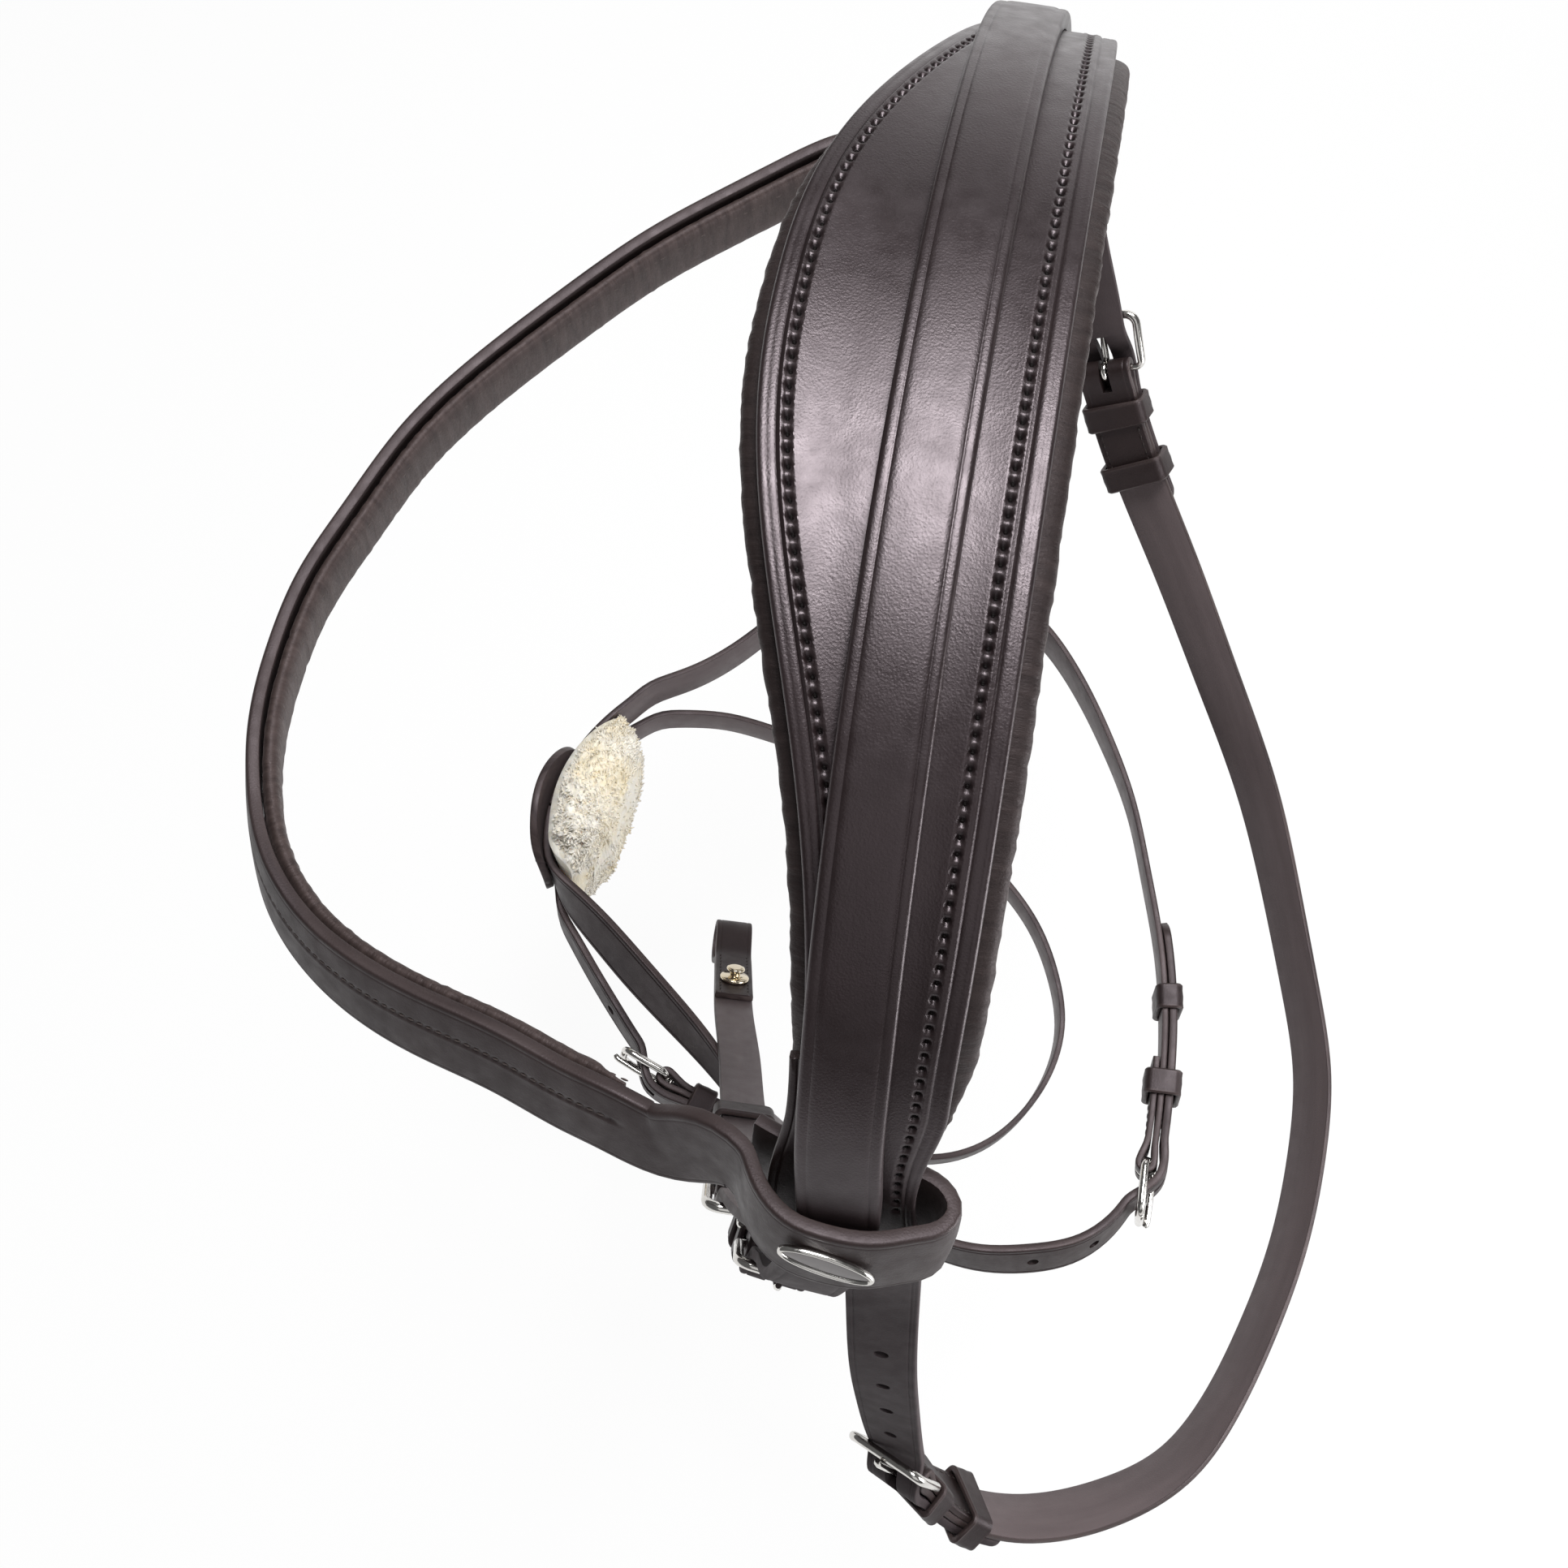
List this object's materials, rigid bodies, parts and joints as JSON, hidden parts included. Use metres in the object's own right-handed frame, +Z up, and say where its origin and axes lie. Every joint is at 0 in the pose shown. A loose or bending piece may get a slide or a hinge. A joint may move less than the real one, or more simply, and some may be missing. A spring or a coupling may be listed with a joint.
{
  "type": "english bridle",
  "caption": "English bridle with padded headpiece, curved browband, crossed noseband on a sheepskin pad, cheekpieces and throatlash.",
  "frame": {"origin": "the underside of the headpiece's lining at its middle, where it rests on the horse's poll", "axes": "+Z up, +X towards the near side, which is the horse's left, +Y towards the horse's neck"},
  "size_m": [0.3629, 0.3227, 0.3687],
  "materials": {
    "leather": "dark brown bridle leather, satin, with creased and stitched edges",
    "lining": "soft dark lining leather over padding, finely wrinkled",
    "steel": "polished stainless steel",
    "badge": "polished plate with a plain field",
    "fleece": "cream sheepskin, dense short wool"
  },
  "bodies": {
    "bridle": {"badge_plate": "badge", "bit_stud_near": "steel", "bit_stud_off": "steel", "browband": "leather", "browband_lining": "lining", "buckle_cheek_near": "steel", "buckle_cheek_off": "steel", "buckle_hanger_near": "steel", "buckle_hanger_off": "steel", "buckle_lower": "steel", "buckle_throat_near": "steel", "buckle_throat_off": "steel", "buckle_upper": "steel", "cheek_billet_near": "leather", "cheek_billet_off": "leather", "cheekpiece_near": "leather", "cheekpiece_off": "leather", "crown_lining": "lining", "crown_panel": "leather", "crown_strap": "leather", "keeper_cheek_near": "leather", "keeper_cheek_off": "leather", "keeper_hanger_near": "leather", "keeper_hanger_off": "leather", "keeper_lower": "leather", "keeper_throat_near": "leather", "keeper_throat_off": "leather", "keeper_upper": "leather", "lower_strap_near": "leather", "lower_strap_off": "leather", "nose_disc": "leather", "nose_hanger_near": "leather", "nose_hanger_off": "leather", "sheepskin_pad": "fleece", "throatlash": "leather", "upper_strap_near": "leather", "upper_strap_off": "leather"},
    "tongue_throat_near": {"tongue_throat_near": "steel"},
    "runner_throat_near": {"runner_throat_near": "leather"},
    "tongue_throat_off": {"tongue_throat_off": "steel"},
    "runner_throat_off": {"runner_throat_off": "leather"},
    "tongue_hanger_near": {"tongue_hanger_near": "steel"},
    "runner_hanger_near": {"runner_hanger_near": "leather"},
    "tongue_hanger_off": {"tongue_hanger_off": "steel"},
    "runner_hanger_off": {"runner_hanger_off": "leather"},
    "tongue_cheek_near": {"tongue_cheek_near": "steel"},
    "runner_cheek_near": {"runner_cheek_near": "leather"},
    "tongue_cheek_off": {"tongue_cheek_off": "steel"},
    "runner_cheek_off": {"runner_cheek_off": "leather"},
    "tongue_upper": {"tongue_upper": "steel"},
    "runner_upper": {"runner_upper": "leather"},
    "tongue_lower": {"tongue_lower": "steel"}
  },
  "joints": [
    {"name": "tongue_throat_near_hinge", "type": "hinge", "parent": "bridle", "child": "tongue_throat_near", "pos_m": [0.1875, 0.0425, -0.2382], "axis": [0.3276, 0.8363, 0.4396], "range_deg": [0, 14]},
    {"name": "runner_throat_near_slide", "type": "slide", "parent": "bridle", "child": "runner_throat_near", "axis": [0.145, 0.7864, -0.6005], "range_m": [-0.003, 0.003]},
    {"name": "tongue_throat_off_hinge", "type": "hinge", "parent": "bridle", "child": "tongue_throat_off", "pos_m": [-0.13, 0.047, -0.1632], "axis": [-0.0171, -0.8816, -0.4717], "range_deg": [0, 14]},
    {"name": "runner_throat_off_slide", "type": "slide", "parent": "bridle", "child": "runner_throat_off", "axis": [0.5218, 0.5347, -0.6646], "range_m": [-0.003, 0.003]},
    {"name": "tongue_hanger_near_hinge", "type": "hinge", "parent": "bridle", "child": "tongue_hanger_near", "pos_m": [0.14665, -0.00117, -0.15661], "axis": [0.0885, 0.9871, -0.1331], "range_deg": [0, 14]},
    {"name": "runner_hanger_near_slide", "type": "slide", "parent": "bridle", "child": "runner_hanger_near", "axis": [-0.3447, -0.1041, -0.9329], "range_m": [-0.004, 0.004]},
    {"name": "tongue_hanger_off_hinge", "type": "hinge", "parent": "bridle", "child": "tongue_hanger_off", "pos_m": [-0.14665, -0.00117, -0.15661], "axis": [0.0885, -0.9871, 0.1331], "range_deg": [0, 14]},
    {"name": "runner_hanger_off_slide", "type": "slide", "parent": "bridle", "child": "runner_hanger_off", "axis": [0.3447, -0.1041, -0.9329], "range_m": [-0.004, 0.004]},
    {"name": "tongue_cheek_near_hinge", "type": "hinge", "parent": "bridle", "child": "tongue_cheek_near", "pos_m": [0.1325, -0.0125, -0.1532], "axis": [-0.0408, 0.9947, -0.0939], "range_deg": [0, 14]},
    {"name": "runner_cheek_near_slide", "type": "slide", "parent": "bridle", "child": "runner_cheek_near", "axis": [-0.4811, -0.1517, -0.8635], "range_m": [-0.008, 0.008]},
    {"name": "tongue_cheek_off_hinge", "type": "hinge", "parent": "bridle", "child": "tongue_cheek_off", "pos_m": [-0.1325, -0.0125, -0.1532], "axis": [-0.0408, -0.9947, 0.0939], "range_deg": [0, 14]},
    {"name": "runner_cheek_off_slide", "type": "slide", "parent": "bridle", "child": "runner_cheek_off", "axis": [0.4112, -0.1744, -0.8947], "range_m": [-0.008, 0.005]},
    {"name": "tongue_upper_hinge", "type": "hinge", "parent": "bridle", "child": "tongue_upper", "pos_m": [0.088, 0.1055, -0.2677], "axis": [-0.0352, -0.2049, 0.9781], "range_deg": [0, 14]},
    {"name": "runner_upper_slide", "type": "slide", "parent": "bridle", "child": "runner_upper", "axis": [-0.9995, -0.0313, 0], "range_m": [-0.004, 0.004]},
    {"name": "tongue_lower_hinge", "type": "hinge", "parent": "bridle", "child": "tongue_lower", "pos_m": [0.086, -0.052, -0.2912], "axis": [-0.0352, 0.1577, 0.9869], "range_deg": [0, 14]}
  ]
}
